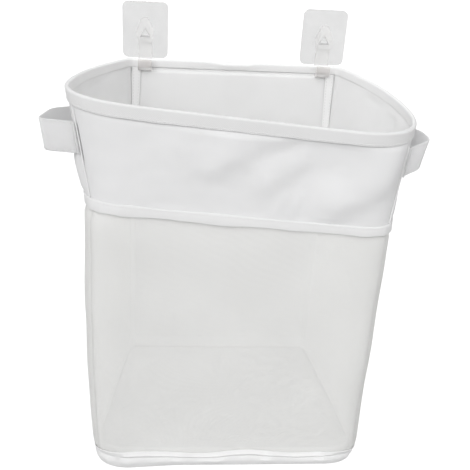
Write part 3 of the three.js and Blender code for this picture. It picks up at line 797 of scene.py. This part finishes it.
def rim_profile(column):
    """The folded tape: outer leg, crest, inner leg, and back round the hollow that holds the wire.

    It is wider in the middle of the back, where the sleeve joins the wire's ends.
    """
    lip = RIM_TAPE / 2
    swell = RIM_PUCKER_SWELL * waves(column, RIM_PUCKER)
    middle = RIM_FOOT_FACE + swell - lip
    sleeve = 1 - ease(*SLEEVE_FADE, column.place * (RIM_PLAN["back_half"] - BACK_CORNER))
    hollow_radius = mix(WIRE_HOLLOW, SLEEVE_HOLLOW, sleeve)
    crest = CREST_RADIUS + swell / 2 + sleeve * (SLEEVE_HOLLOW - WIRE_HOLLOW)
    crest_centre = (0, RIM_Z + CREST_RISE * (1 - sleeve))
    hollow = -math.degrees(math.acos((middle - lip) / hollow_radius))
    section = arc((middle, rim_foot(column) + lip), lip, -180, 0, LIP_STEPS)
    section += arc(crest_centre, crest, -CREST_OVERHANG, 180 + CREST_OVERHANG, CREST_STEPS)
    section += arc((RIM_INNER_SET - middle, RIM_Z - RIM_INNER_LEG + lip), lip, -180, 0, LIP_STEPS)
    section += arc((0, RIM_Z), hollow_radius, 180 - hollow, hollow, HOLLOW_STEPS)
    return section


def band_binding_profile(column):
    """A flat tape whose lower edge stands away from the mesh."""
    lift = BINDING_PUCKER_HEIGHT * waves(column, BINDING_PUCKER)
    top = WAIST_Z + BINDING_HEIGHT + lift / 2
    half = BINDING_THICKNESS / 2
    upper = arc((BINDING_FACE + half, top - half), half, 0, 180, LIP_STEPS)
    flare = BINDING_FLARE * (1 + waves(column, RIM_PUCKER))
    lower = arc((BINDING_FACE + half + flare, WAIST_Z - lift + half), half, -180, 0, LIP_STEPS)
    return upper + lower


def hem_in_front(column):
    """0 along the sides and the back and 1 across the front."""
    return ease(*HEM_FRONT_PLACES, column.place)


def hem_top(column):
    """The upper edge of the hem, lower along the sides and waving across the front."""
    x = column.at(BASE_Z).x
    long, short = (height * math.sin(x / length + shift) for height, length, shift in HEM_WAVES)
    wave = ease(CORNER_START, FRONT_START, column.place) * (long * ease(*HEM_WAVE_FADE, x) + short)
    return HEM_FOOT + HEM_HEIGHT - HEM_SIDE_DROP * (1 - hem_in_front(column)) + wave


def hem_foot(column):
    """The underside of the hem, which sags towards the front corners."""
    start, stop, sag = HEM_SAGS[column.side]
    return HEM_FOOT - sag * ease(*HEM_SAG_PLACES, column.place) * ease(start, stop, abs(column.at(BASE_Z).x))


def hem_face(column):
    return TRIM_FACE + HEM_THICKNESS * mix(HEM_SIDE_SHARE, 1, hem_in_front(column))


def hem_profile(column):
    """The turned-up, lightly padded edge of the base, drawn in along the line where it is sewn."""
    outer = hem_face(column)
    top, foot = hem_top(column), hem_foot(column)
    puff = HEM_PUFF * hem_in_front(column) * (1 + waves(column, RIM_PUCKER))
    lip = HEM_LIP / 2
    rest = slack_offset(column, top) + MESH + lip
    section = arc((rest, top - lip), lip, 180, 0, LIP_STEPS)
    bends = ((puff / 2, 0.5), (-HEM_GROOVE_DEPTH, 1), (puff, 1.5), (puff, 2))
    section += [(outer + out, mix(top, foot, share * HEM_GROOVE)) for out, share in bends]
    edge = (outer - HEM_EDGE_RADIUS, foot + HEM_EDGE_RADIUS)
    section += arc(edge, HEM_EDGE_RADIUS, 0, -90, BEND_STEPS)
    section += [(-HEM_FLANGE, HEM_FOOT), (-HEM_FLANGE, BASE_Z - FIT_GAP), (TRIM_FACE, BASE_Z - FIT_GAP)]
    return section


def seam_tuck(column, depth, reach):
    """How far the cloth is drawn in beside a front corner seam."""
    point, _ = SECTIONS[0].edge(FRONT_SEAM, 0)
    here, _ = column.edges[0]
    return depth * nearness((here - point).length, reach)


def front_band_offset(column, z):
    """The folds, and a slit along the seam where the handle is sewn in."""
    slit = plateau(*SLIT_FADE, RIM_Z - z)
    tuck = seam_tuck(column, SEAM_DEPTH, SEAM_REACH) + slit * seam_tuck(column, SLIT_DEPTH, SLIT_REACH)
    tuck += RIM_TUCK * ease(*FOLD_FADE_SEAM, column.place) * nearness(rim_foot(column) - z, RIM_TUCK_REACH)
    return fold_offset(column, z) - tuck


def clear_of_tab(column, z):
    """0 under the strap's rear tab, where the cloth is sewn flat, and 1 away from it."""
    rise = LOOPS[column.side][0]
    down = RIM_Z - HANDLE_DROP + rise - z
    along = plateau((BACK_END - TAB_EASE, BACK_END), (BACK_ROOT, BACK_ROOT + TAB_EASE), column.place)
    foot = (STRAP_WIDTH + TAB_MARGIN, STRAP_WIDTH + TAB_CLEAR)
    return 1 - along * plateau((-TAB_CLEAR, -TAB_MARGIN), foot, down)


def band_bulge(column, z):
    """How far the left side band stands out below its handle."""
    if column.side > 0:
        return 0.0
    drop = RIM_Z - z
    bulge = BAND_BULGE * nearness(drop - BAND_BULGE_DROP, BAND_BULGE_REACH)
    bulge *= plateau(*BAND_BULGE_PLACES, column.place)
    return bulge * (1 - ease(*BAND_FADE[1], drop))


def side_band_offset(column, z):
    """Slow waves of the side, gone at its edges."""
    fade = plateau(*BAND_FADE, RIM_Z - z) * clear_of_tab(column, z)
    fade *= plateau(*SIDE_FADE, column.place)
    wave = fade * (crumple(column, z) + SIDE_WAVE_HEIGHT * waves(column, SIDE_WAVE, z))
    return wave + band_bulge(column, z) - seam_tuck(column, SEAM_DEPTH, SEAM_REACH)


def back_offset(column, z):
    """The back panel hangs slightly slack between its corner seams."""
    fade = ease(*BACK_FADE_TOP, RIM_Z - z) * ease(*BACK_FADE_FOOT, z - BASE_Z)
    fade *= ease(0, BACK_FADE_SEAM, RIM_PLAN["back_half"] - abs(column.at(z).x))
    return fade * (crumple(column, z) + BACK_WAVE_HEIGHT * waves(column, BACK_WAVE, z))


def add_cloth(node, cloth, rows):
    """A cut piece of cloth in place of its CAD node."""
    look, thickness, slot, painted_light_inner = cloth
    piece = add_grid(node + "_cloth", look, rows)
    modifier = piece.modifiers.new("cloth_thickness", "SOLIDIFY")
    modifier.thickness = thickness * MM
    modifier.offset = 0
    # The inner side gets the paler look: painted light inside the bag
    if painted_light_inner:
        piece.data.materials.append(painted_light_inner)
        modifier.material_offset = 1
    settle(piece, slot, node)
    return piece


def add_panel(node, cloth, columns, heights, offset_at):
    """A cut piece of cloth on the skin, measured along its middle lines."""
    rows = [[column.at(z, offset_at(column, z)) for z in heights] for column in columns]
    return add_cloth(node, cloth, rows)


def cut_slots(piece):
    """Opens the two slots that the hooks pass through."""
    low, high = (RIM_Z - SLOT_FOOT) * MM, (RIM_Z - SLOT_TOP) * MM
    with opened(piece.data) as made:
        for _, side in SIDES:
            left, right = ((side * HOOK_X + half) * MM for half in (-SLOT_HALF, SLOT_HALF))
            cuts = [((x, 0, 0), (1, 0, 0)) for x in (left, right)]
            cuts += [((0, 0, z), (0, 0, 1)) for z in (low, high)]
            for point, normal in cuts:
                everything = made.verts[:] + made.edges[:] + made.faces[:]
                bmesh.ops.bisect_plane(made, geom=everything, plane_co=point, plane_no=normal)
            centres = [(face, face.calc_center_median()) for face in made.faces]
            inside = [face for face, spot in centres if left < spot.x < right and low < spot.z < high]
            bmesh.ops.delete(made, geom=inside, context="FACES")


def sweep_rows(columns, profile_at):
    return [[column.at(z, offset) for offset, z in profile_at(column)] for column in columns]


def add_tape(node, look, rows, loop=False, kind="tape", slot="tape"):
    """A tape, cord or strap in place of its CAD node."""
    piece = add_grid(f"{node}_{kind}", look, rows, ring=True, loop=loop)
    settle(piece, slot, node)
    return piece


def tape_lean(place, z):
    """How far a back corner's tape is drawn along the back towards the rim."""
    if place == FRONT_SEAM:
        return 0.0
    return -BACK_TAPE_LEAN * math.sqrt(clamp((z - WAIST_Z) / (RIM_Z - WAIST_Z)))


def strip_rows(side, place, heights, profile):
    """A section across a seam, given as shifts along the outline and offsets, drawn along the heights."""
    seam = Column(side, place)
    rows = []
    for z in heights:
        slack, lean = slack_offset(seam, z), tape_lean(place, z)
        columns = [Column(side, place_along_rim(place, shift + lean)) for shift, _ in profile]
        rows.append([column.at(z, offset + slack) for column, (_, offset) in zip(columns, profile)])
    return rows


def flat_section(width, inner, thickness, steps):
    """A flat tape's section with rounded edges."""
    lip = thickness / 2
    middle = inner + lip
    right = arc((width / 2 - lip, middle), lip, -90, 90, steps)
    left = arc((lip - width / 2, middle), lip, 90, 270, steps)
    return right + left


# Panels. A cloth has its look, its thickness, its slot and the look of its inner side, a paler copy of the
# same fabric that is painted light for the bright inside of the bag.
FABRIC_CLOTH = (FABRIC_LOOK, FABRIC, "fabric", PAINTED_LIGHT_INNER_LOOK)
BACK_CLOTH = (BACK_PAINTED_LIGHT_LOOK, FABRIC, "fabric", None)
BASE_CLOTH = (BASE_PAINTED_SHADE_LOOK, FABRIC, "fabric", None)
MESH_CLOTH = (MESH_LOOK, MESH, "mesh", None)
FINE_FOOT_Z = RIM_Z - FINE_DROP
band_heights = chain((PANEL_TOP_Z, FINE_FOOT_Z, FINE_STEPS), (FINE_FOOT_Z, BAND_FOOT_Z, PANEL_STEPS))
mesh_heights = [BAND_FOOT_Z - FIT_GAP] + spread(WAIST_Z, BASE_Z, MESH_STEPS)
back_heights = chain((PANEL_TOP_Z, WAIST_Z, UPPER_STEPS), (WAIST_Z, BASE_Z, PANEL_STEPS))

back_panel = add_panel("back_panel", BACK_CLOTH, back_columns, back_heights, back_offset)
cut_slots(back_panel)
front_band = add_panel("front_band", FABRIC_CLOTH, front_columns, band_heights, front_band_offset)
front_mesh = add_panel("front_mesh", MESH_CLOTH, front_mesh_columns, mesh_heights, slack_offset)

# Bindings
rim_rows = sweep_rows(loop_columns, rim_profile)
rim_binding = add_tape("rim_binding", RIM_LOOK, rim_rows, loop=True)
# The rim tape's inner face gets the paler tape look: painted light where it faces inward into shade
rim_binding.data.materials.append(PAINTED_LIGHT_TAPE_LOOK)
for face in rim_binding.data.polygons:
    face.material_index = int(face.index % len(rim_rows[0]) in RIM_PAINTED_LIGHT_FACES)
band_binding = add_tape("band_binding", BINDING_LOOK, sweep_rows(round_columns, band_binding_profile))
base_binding = add_tape("base_binding", BINDING_LOOK, sweep_rows(loop_columns, hem_profile), loop=True)


def base_row(place):
    """A line across the base panel, which sags a little between its corners."""
    left, right = (Column(side, place).at(BASE_Z, -TRIM_FACE) for _, side in SIDES)
    row = []
    for share in spread(0, 1, PANEL_STEPS):
        point = left.lerp(right, share)
        depth_share = clamp((-point.y - BASE_STANDOFF) / BASE_PLAN["depth"])
        point.z += FABRIC - BASE_SAG * arch(share) * arch(depth_share)
        row.append(point)
    return row


def base_tape_profile(column):
    """A flat tape that stands up on the inside of the base seam."""
    lip = TAPE_THICKNESS / 2
    foot = BASE_Z + 3 * FABRIC
    lower = arc((-TRIM_FACE - lip, foot), lip, 180, 360, TAPE_LIP_STEPS)
    upper = arc((-TRIM_FACE - lip, foot + BASE_TAPE_HEIGHT), lip, 0, 180, TAPE_LIP_STEPS)
    return lower + upper


base_tape_rows = sweep_rows(loop_columns, base_tape_profile)
base_tape = add_grid("base_seam_tape", PAINTED_LIGHT_TAPE_LOOK, base_tape_rows, ring=True, loop=True)
settle(base_tape, "tape")
base_rows = [base_row(place) for place in LOOP_PLACES if BACK_CORNER_START <= place <= FRONT_START]
base_panel = add_cloth("base_panel", BASE_CLOTH, base_rows)

# Sides: panels, seam tapes and piping
tape_section = flat_section(TAPE_WIDTH, -TRIM_FACE - TAPE_THICKNESS, TAPE_THICKNESS, TAPE_LIP_STEPS)
tape_top = RIM_Z - RIM_INNER_LEG - FIT_GAP
tape_heights = chain((tape_top, WAIST_Z, UPPER_STEPS), (WAIST_Z, BASE_Z + TAPE_END, PANEL_STEPS))
piping_section = arc((0, TRIM_FACE - PIPING_SINK), PIPING_RADIUS, 0, 360, PIPING_STEPS)[:-1]
piping_top, piping_foot = RIM_Z - RIM_OUTER_LEG - FIT_GAP, WAIST_Z + BINDING_HEIGHT + FIT_GAP
piping_heights = spread(piping_top, piping_foot, PANEL_STEPS)
trims = {"back": [], "left": [], "right": []}
for label, side in SIDES:
    shifts = [FIT_GAP / 2] + [0.0] * (len(SIDE_PLACES) - 2) + [-FIT_GAP / 2]
    columns = [Column(side, *spot) for spot in zip(SIDE_PLACES, shifts)]
    mesh_columns = columns[:-1] + [Column(side, FRONT_SEAM)]
    if side > 0:
        columns, mesh_columns = columns[::-1], mesh_columns[::-1]
    add_panel(f"side_band_{label}", FABRIC_CLOTH, columns, band_heights, side_band_offset)
    add_panel(f"side_mesh_{label}", MESH_CLOTH, mesh_columns, mesh_heights, slack_offset)
    for seam, place in (("back", BACK_SEAM), ("front", FRONT_SEAM)):
        rows = strip_rows(side, place, tape_heights, tape_section)
        tape = add_tape(f"{seam}_seam_tape_{label}", PAINTED_LIGHT_TAPE_LOOK, rows)
        trims["back" if seam == "back" else label].append(tape)
    rows = strip_rows(side, FRONT_SEAM, piping_heights, piping_section)
    trims[label].append(add_tape(f"corner_piping_{label}", BINDING_LOOK, rows, kind="cord"))


# Strap handles


def rounded_path(stops):
    """Straight runs between the stops, each inner stop rounded."""
    path = [stops[0]]
    for before, here, after in zip(stops, stops[1:], stops[2:]):
        back, ahead = before - here, after - here
        length = min(HANDLE_BEND, BEND_SHARE * min(back.length, ahead.length))
        start, stop = here + back.normalized() * length, here + ahead.normalized() * length
        path += [bezier(start, here, stop, t) for t in spread(0, 1, BEND_STEPS)]
    return path + [stops[-1]]


def strap_edge(side, down):
    """A line along the middle of the strap's thickness, some millimetres below its top edge."""
    rise, draw, turn, knee = LOOPS[side]
    draw *= down / STRAP_WIDTH
    z = RIM_Z - HANDLE_DROP + rise - down
    columns = [Column(side, FRONT_SEAM, -shift) for shift in spread(STRAP_START, STRAP_ROOT, 2)]
    columns += [Column(side, place) for place in spread(BACK_ROOT, BACK_END, 2)]
    sewn = [column.at(z, TRIM_FACE + STRAP_THICKNESS / 2 + band_bulge(column, z)) for column in columns]
    loop = [sewn[2] + Vector((side * (out - draw), back, up)) for out, back, up in (turn, knee)]
    return rounded_path(sewn[:3] + loop + sewn[3:])


def strap_rows(side, section):
    """Rows along the strap. The section is given as millimetres down from its top edge and lifts outwards."""
    top, foot = strap_edge(side, 0), strap_edge(side, STRAP_WIDTH)
    rows = []
    for k, (upper, lower) in enumerate(zip(top, foot)):
        ahead = top[min(k + 1, len(top) - 1)] - top[max(k - 1, 0)]
        outward = side * (lower - upper).cross(ahead).normalized()
        rows.append([upper.lerp(lower, down / STRAP_WIDTH) + outward * lift for down, lift in section])
    return rows


strap_section = flat_section(STRAP_WIDTH, -STRAP_THICKNESS / 2, STRAP_THICKNESS, LIP_STEPS)
strap_section = [(STRAP_WIDTH / 2 + shift, lift) for shift, lift in strap_section]
for label, side in SIDES:
    rows = strap_rows(side, strap_section)
    strap = add_tape(f"handle_{label}", STRAP_LOOK, rows, kind="strap", slot="fabric")


# Stitching


def add_stitch(made, middle, along, outward):
    """A short capsule of thread."""
    aside = along.cross(outward)
    turns = [2 * math.pi * turn / STITCH_SIDES for turn in range(STITCH_SIDES)]
    rings = []
    for step, swell in STITCH_RINGS:
        centre = middle + along * (step * STITCH_LENGTH)
        spokes = [(outward * math.sin(t) + aside * math.cos(t)) * (swell * THREAD_RADIUS) for t in turns]
        rings.append([made.verts.new((centre + spoke) * MM) for spoke in spokes])
    for ring, after in zip(rings, rings[1:]):
        for turn in range(STITCH_SIDES):
            made.faces.new((ring[turn], ring[turn - 1], after[turn - 1], after[turn]))
    made.faces.new(rings[0])
    made.faces.new(rings[-1][::-1])


def add_stitches(name, lines):
    """Stitches along lines, each line a list of points and outward directions."""
    mesh = bpy.data.meshes.new(name)
    with opened(mesh) as made:
        for line in lines:
            lengths = running_length([point for point, _ in line])
            count = int(lengths[-1] / STITCH_PITCH)
            span = 0
            for k in range(count):
                middle = (k + 0.5) * lengths[-1] / count
                while lengths[span + 1] < middle:
                    span += 1
                share = (middle - lengths[span]) / (lengths[span + 1] - lengths[span])
                (start, start_out), (stop, stop_out) = line[span], line[span + 1]
                along = (stop - start).normalized()
                outward = start_out.lerp(stop_out, share).normalized()
                add_stitch(made, start.lerp(stop, share), along, outward)
        bmesh.ops.recalc_face_normals(made, faces=made.faces)
    piece = add_object(name, mesh, THREAD_LOOK)
    settle(piece, "tape")
    return piece


def skin_line(columns, spot_at):
    """A line round the skin with its outward directions. spot_at gives a column's height and offset."""
    line = []
    for column in columns:
        z, offset = spot_at(column)
        point = column.at(z, offset)
        line.append((point, column.at(z, offset + 1) - point))
    return line


def tape_line(side, place, shift, heights):
    """A line of thread down a tape's inner face."""
    inner, outer = ([(shift, -TRIM_FACE - TAPE_THICKNESS - lift)] for lift in (1, 0))
    rows = zip(strip_rows(side, place, heights, outer), strip_rows(side, place, heights, inner))
    return [(point, raised - point) for (point,), (raised,) in rows]


def rim_stitch(column):
    return rim_foot(column) + STITCH_INSET, mix(RIM_FOOT_FACE, CREST_RADIUS, STITCH_INSET / RIM_OUTER_LEG)


def band_stitch(column):
    flare = BINDING_FLARE * STITCH_INSET / BINDING_HEIGHT
    return WAIST_Z + BINDING_HEIGHT - STITCH_INSET, BINDING_FACE + BINDING_THICKNESS + flare


def hem_stitch(column):
    return mix(hem_top(column), hem_foot(column), HEM_GROOVE), hem_face(column) - HEM_GROOVE_DEPTH


def strap_lines(side):
    """A line of thread along both edges of the strap, and one down it wherever it is sewn on."""
    downs = spread(STITCH_INSET, STRAP_WIDTH - STITCH_INSET, BEND_STEPS)
    faces = (STRAP_THICKNESS / 2, STRAP_THICKNESS / 2 + 1)
    rows, raised = (strap_rows(side, [(down, lift) for down in downs]) for lift in faces)
    threads = [[(a, b - a) for a, b in zip(row, above)] for row, above in zip(rows, raised)]
    edges = [[thread[end] for thread in threads] for end in (0, -1)]
    return edges + [threads[row] for row in STRAP_SEWN_ROWS]


closed_loop = loop_columns + loop_columns[:1]
rim_stitches = add_stitches("rim_stitches", [skin_line(closed_loop, rim_stitch)])
band_stitches = add_stitches("band_stitches", [skin_line(round_columns, band_stitch)])
base_stitches = add_stitches("base_stitches", [skin_line(closed_loop, hem_stitch)])
tape_lines = []
for _, side in SIDES:
    for place in (BACK_SEAM, FRONT_SEAM):
        for shift in (STITCH_INSET - TAPE_WIDTH / 2, TAPE_WIDTH / 2 - STITCH_INSET):
            tape_lines.append(tape_line(side, place, shift, tape_heights))
tape_stitches = add_stitches("tape_stitches", tape_lines)
for label, side in SIDES:
    add_stitches(f"handle_{label}_stitches", strap_lines(side))


# Plastic and steel


def add_moulded(node, look, rounding):
    """A copy of a CAD piece with its edges rounded as moulded plastic has them."""
    mesh = frame["nodes"][node].data.copy()
    with opened(mesh) as made:
        bmesh.ops.remove_doubles(made, verts=made.verts, dist=WELD * MM)
        flat = math.radians(FLAT_ANGLE)
        bmesh.ops.dissolve_limit(made, angle_limit=flat, verts=made.verts, edges=made.edges)
    piece = add_object(node + "_moulding", mesh, look)
    bevel = piece.modifiers.new("rounded_edges", "BEVEL")
    bevel.width = rounding * MM
    bevel.segments = EDGE_STEPS
    bevel.limit_method = "ANGLE"
    bevel.angle_limit = math.radians(EDGE_ANGLE)
    bevel.harden_normals = True
    settle(piece, "clear_plastic", node, body="root")
    return piece


def paint_shade_on_hook(hook, side):
    """Painted shade: darker plastic in the walls of the window and in the tip of the J, where they lie in
    shade.
    """
    hook.data.materials.append(WINDOW_PAINTED_SHADE_LOOK)
    hook.data.materials.append(TIP_PAINTED_SHADE_LOOK)
    for face in hook.data.polygons:
        x, y, z = face.center / MM
        across_window = abs(x - side * HOOK_X) < WINDOW_HALF + FIT_GAP
        up_window = WINDOW_FOOT - FIT_GAP < z < WINDOW_TOP + FIT_GAP
        if across_window and up_window and abs(face.normal.y) < WALL_TURN:
            face.material_index = 1
        # The J's tip in front of the back panel gets painted shade
        elif y < -RIM_STANDOFF and z < RIM_Z + HOOK_TIP_TOP:
            face.material_index = 2


for label, side in SIDES:
    add_moulded(f"adhesive_pad_{label}", PAD_LOOK, EDGE_ROUND)
    paint_shade_on_hook(add_moulded(f"hook_{label}", HOOK_LOOK, HOOK_ROUND), side)
for node in ("rim_wire", "wire_sleeve"):
    steel = frame["nodes"][node]
    steel.data.materials.clear()
    steel.data.materials.append(STEEL_LOOK)


# Floor, light and camera
half = FLOOR_HALF * MM
floor_mesh = bpy.data.meshes.new("floor")
floor_corners = ((-half, -half), (half, -half), (half, half), (-half, half))
floor_mesh.from_pydata([(x, y, FLOOR_HEIGHT * MM) for x, y in floor_corners], [], [(0, 1, 2, 3)])
floor = add_object("floor", floor_mesh, pale_floor("pale_floor"))
floor.visible_diffuse = False

world = bpy.data.worlds.new("studio")
bpy.context.scene.world = world
world.use_nodes = True
studio = Nodes(world.node_tree)
sky = studio.tree.nodes["Background"]
direction = studio.node("TexCoord", {}).outputs["Generated"]
height = studio.node("SeparateXYZ", {0: direction}).outputs["Z"]
studio.put(sky.inputs["Color"], studio.ramp(height, -HORIZON_BLUR, HORIZON_BLUR, GROUND_LIGHT, 1.0))
studio.put(sky.inputs["Strength"], SKY_STRENGTH)
backdrop = studio.node("Background", {"Color": (1, 1, 1, 1)})
choice = studio.node("MixShader", {0: studio.seen_directly(), 1: sky.outputs[0], 2: backdrop.outputs[0]})
studio.put(studio.tree.nodes["World Output"].inputs["Surface"], choice.outputs[0])

for label, azimuth, strength in LAMPS:
    light = bpy.data.lights.new(f"lamp_{label}", "SUN")
    light.energy = strength
    light.angle = math.radians(LAMP_ANGLE)
    lamp = put_in_scene(f"lamp_{label}", light)
    lamp.rotation_euler = (math.radians(90 - LAMP_ELEVATION), 0, math.radians(azimuth))

camera_data = bpy.data.cameras.new("camera")
camera_data.sensor_width = SENSOR_WIDTH
camera_data.lens = FOCAL_PIXELS / PICTURE_PIXELS * SENSOR_WIDTH
camera = put_in_scene("camera", camera_data)
camera.matrix_world = Matrix.Translation(Vector(CAMERA_PLACE) * MM)
for degrees, axis in ((-CAMERA_YAW, "Z"), (90 - CAMERA_PITCH, "X"), (-CAMERA_ROLL, "Z")):
    camera.matrix_world @= Matrix.Rotation(math.radians(degrees), 4, axis)
bpy.context.scene.camera = camera
bpy.context.scene.view_settings.view_transform = "Standard"
